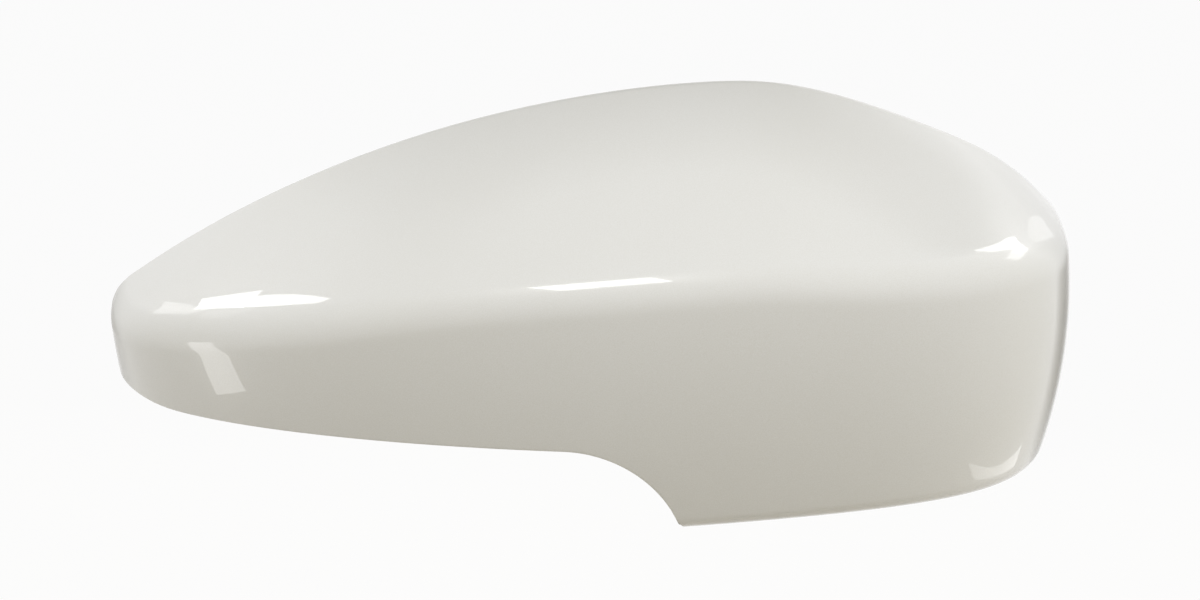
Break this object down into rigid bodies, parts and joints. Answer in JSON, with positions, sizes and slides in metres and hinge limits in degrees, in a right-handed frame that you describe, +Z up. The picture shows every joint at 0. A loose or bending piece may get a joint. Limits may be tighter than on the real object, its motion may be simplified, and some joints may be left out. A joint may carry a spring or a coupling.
{
  "type": "wing mirror cover",
  "caption": "Gloss painted car wing mirror cover: a thin domed shell with a rounded shoulder, an indicator lamp cut-out below, and locating pegs, snap hooks and ribs inside.",
  "frame": {"origin": "on the axis of the datum peg, where the peg's round wall ends, inside the cover", "axes": "+X along the cover to its tall inboard end, +Y to the open rear, the way the mirror housing leaves, +Z up"},
  "size_m": [0.2485, 0.084, 0.0994],
  "materials": {
    "paint": "warm pearl white car paint under a clear coat on moulded plastic",
    "bare_plastic": "raw dark moulded plastic on the inside, with paint overspray near the edges"
  },
  "bodies": {
    "root": {"mirror_cover": "paint"}
  },
  "joints": []
}
